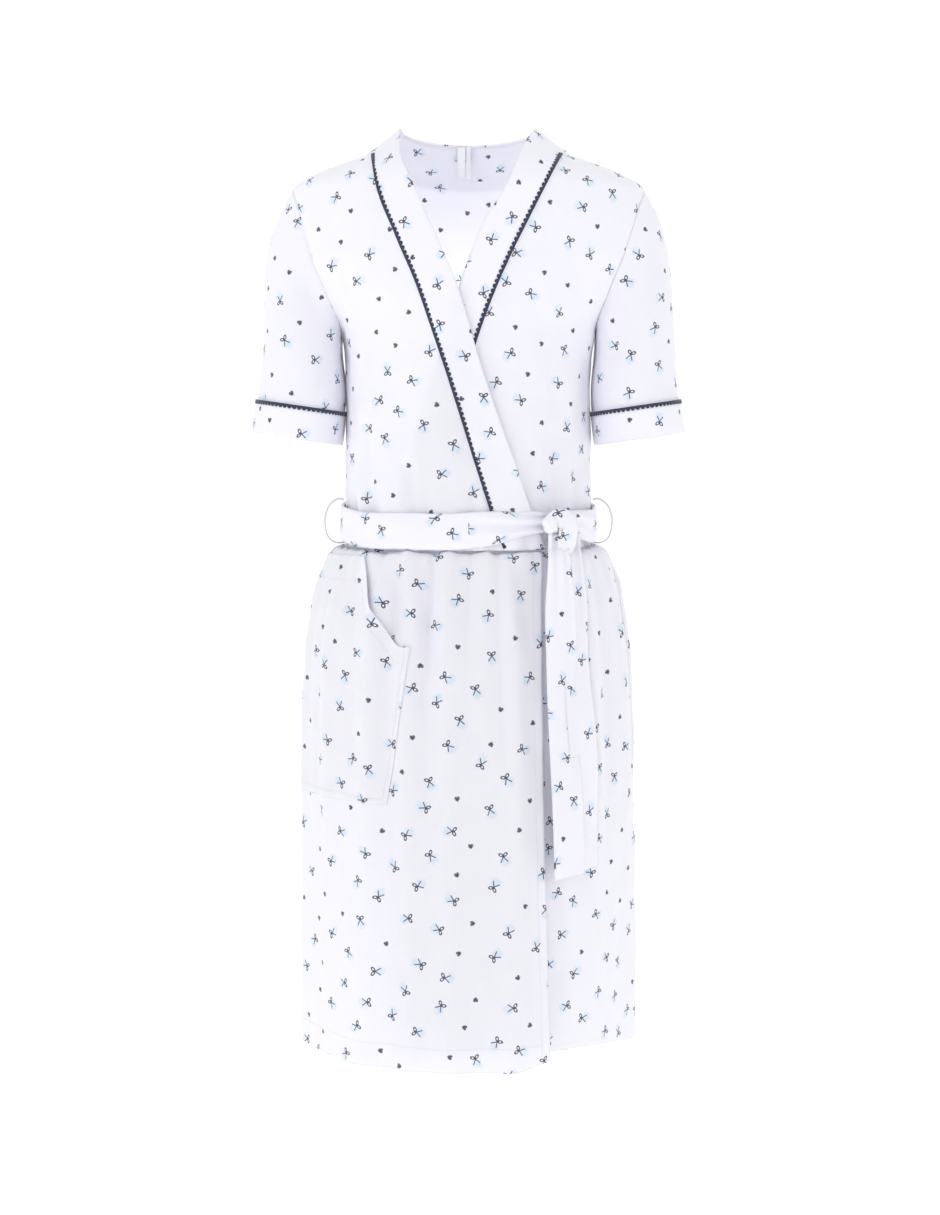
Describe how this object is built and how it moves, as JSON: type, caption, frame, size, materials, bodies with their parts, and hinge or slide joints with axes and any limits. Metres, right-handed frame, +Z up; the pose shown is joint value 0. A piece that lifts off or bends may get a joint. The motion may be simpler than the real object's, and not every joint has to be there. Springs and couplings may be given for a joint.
{
  "type": "patient gown",
  "caption": "Knee-length wrap gown with short sleeves, V neckband, scalloped trim, tied belt with hanging ends, side carriers and one patch pocket.",
  "frame": {"origin": "where the hanger loop is sewn to the centre of the back neck", "axes": "+Z up, the front of the gown faces -Y, +X towards the wearer's left"},
  "size_m": [0.4578, 0.2971, 0.9644],
  "materials": {
    "printed_jersey": "fine single jersey, matt, white with a small navy and pale blue print",
    "band_jersey": "double jersey with interfacing, matt, same print",
    "picot_trim": "knitted navy trim with a scalloped edge",
    "carrier_thread": "chain-stitched white thread",
    "label_satin": "woven satin, blank",
    "loop_tape": "narrow woven tape"
  },
  "bodies": {
    "robe": {"bodice_back": "printed_jersey", "bodice_front_over": "printed_jersey", "bodice_front_under": "printed_jersey", "skirt_back": "printed_jersey", "skirt_front_under": "printed_jersey", "neckband_back": "band_jersey", "neckband_over": "band_jersey", "neckband_under": "band_jersey", "neck_trim_back": "picot_trim", "neck_trim_over": "picot_trim", "neck_trim_under": "picot_trim"},
    "over_skirt": {"skirt_front_over": "printed_jersey", "pocket": "printed_jersey"},
    "sleeve_right_arm": {"sleeve_right": "printed_jersey", "cuff_right": "band_jersey", "cuff_trim_right": "picot_trim"},
    "sleeve_left_arm": {"sleeve_left": "printed_jersey", "cuff_left": "band_jersey", "cuff_trim_left": "picot_trim"},
    "belt": {"belt_band": "printed_jersey", "belt_knot": "printed_jersey", "belt_fold": "printed_jersey"},
    "tail_back": {"belt_tail_back": "printed_jersey"},
    "tail_front": {"belt_tail_front": "printed_jersey"},
    "label": {"neck_label": "label_satin"},
    "loop": {"hanger_loop": "loop_tape"},
    "carrier_right": {"belt_carrier_right": "carrier_thread"},
    "carrier_left": {"belt_carrier_left": "carrier_thread"}
  },
  "joints": [
    {"name": "front_opens", "type": "hinge", "parent": "robe", "child": "over_skirt", "pos_m": [-0.1785, -0.057, -0.69], "axis": [0, 0, -1], "range_deg": [0, 30]},
    {"name": "sleeve_right_lifts", "type": "hinge", "parent": "robe", "child": "sleeve_right_arm", "pos_m": [-0.184, -0.057, -0.054], "axis": [0, 1, 0], "range_deg": [0, 50]},
    {"name": "sleeve_left_lifts", "type": "hinge", "parent": "robe", "child": "sleeve_left_arm", "pos_m": [0.184, -0.057, -0.054], "axis": [0, -1, 0], "range_deg": [0, 50]},
    {"name": "belt_slides", "type": "slide", "parent": "robe", "child": "belt", "axis": [0, 0, 1], "range_m": [-0.0012, 0.0012]},
    {"name": "back_tail_swings", "type": "hinge", "parent": "belt", "child": "tail_back", "pos_m": [0.083, -0.1645, -0.399], "axis": [-1, 0, 0], "range_deg": [0, 50]},
    {"name": "front_tail_swings", "type": "hinge", "parent": "tail_back", "child": "tail_front", "pos_m": [0.083, -0.1645, -0.399], "axis": [-1, 0, 0], "range_deg": [0, 50]},
    {"name": "label_swings", "type": "hinge", "parent": "robe", "child": "label", "pos_m": [-0.0076, 0, -0.0015], "axis": [-1, 0, 0], "range_deg": [0, 60]},
    {"name": "loop_swings", "type": "hinge", "parent": "robe", "child": "loop", "pos_m": [0, 0, 0], "axis": [-1, 0, 0], "range_deg": [0, 60]},
    {"name": "carrier_right_swings", "type": "hinge", "parent": "robe", "child": "carrier_right", "pos_m": [-0.1311, -0.057, -0.403], "axis": [0, 0, 1], "range_deg": [-30, 30]},
    {"name": "carrier_left_swings", "type": "hinge", "parent": "robe", "child": "carrier_left", "pos_m": [0.1311, -0.057, -0.403], "axis": [0, 0, 1], "range_deg": [-30, 30]}
  ]
}
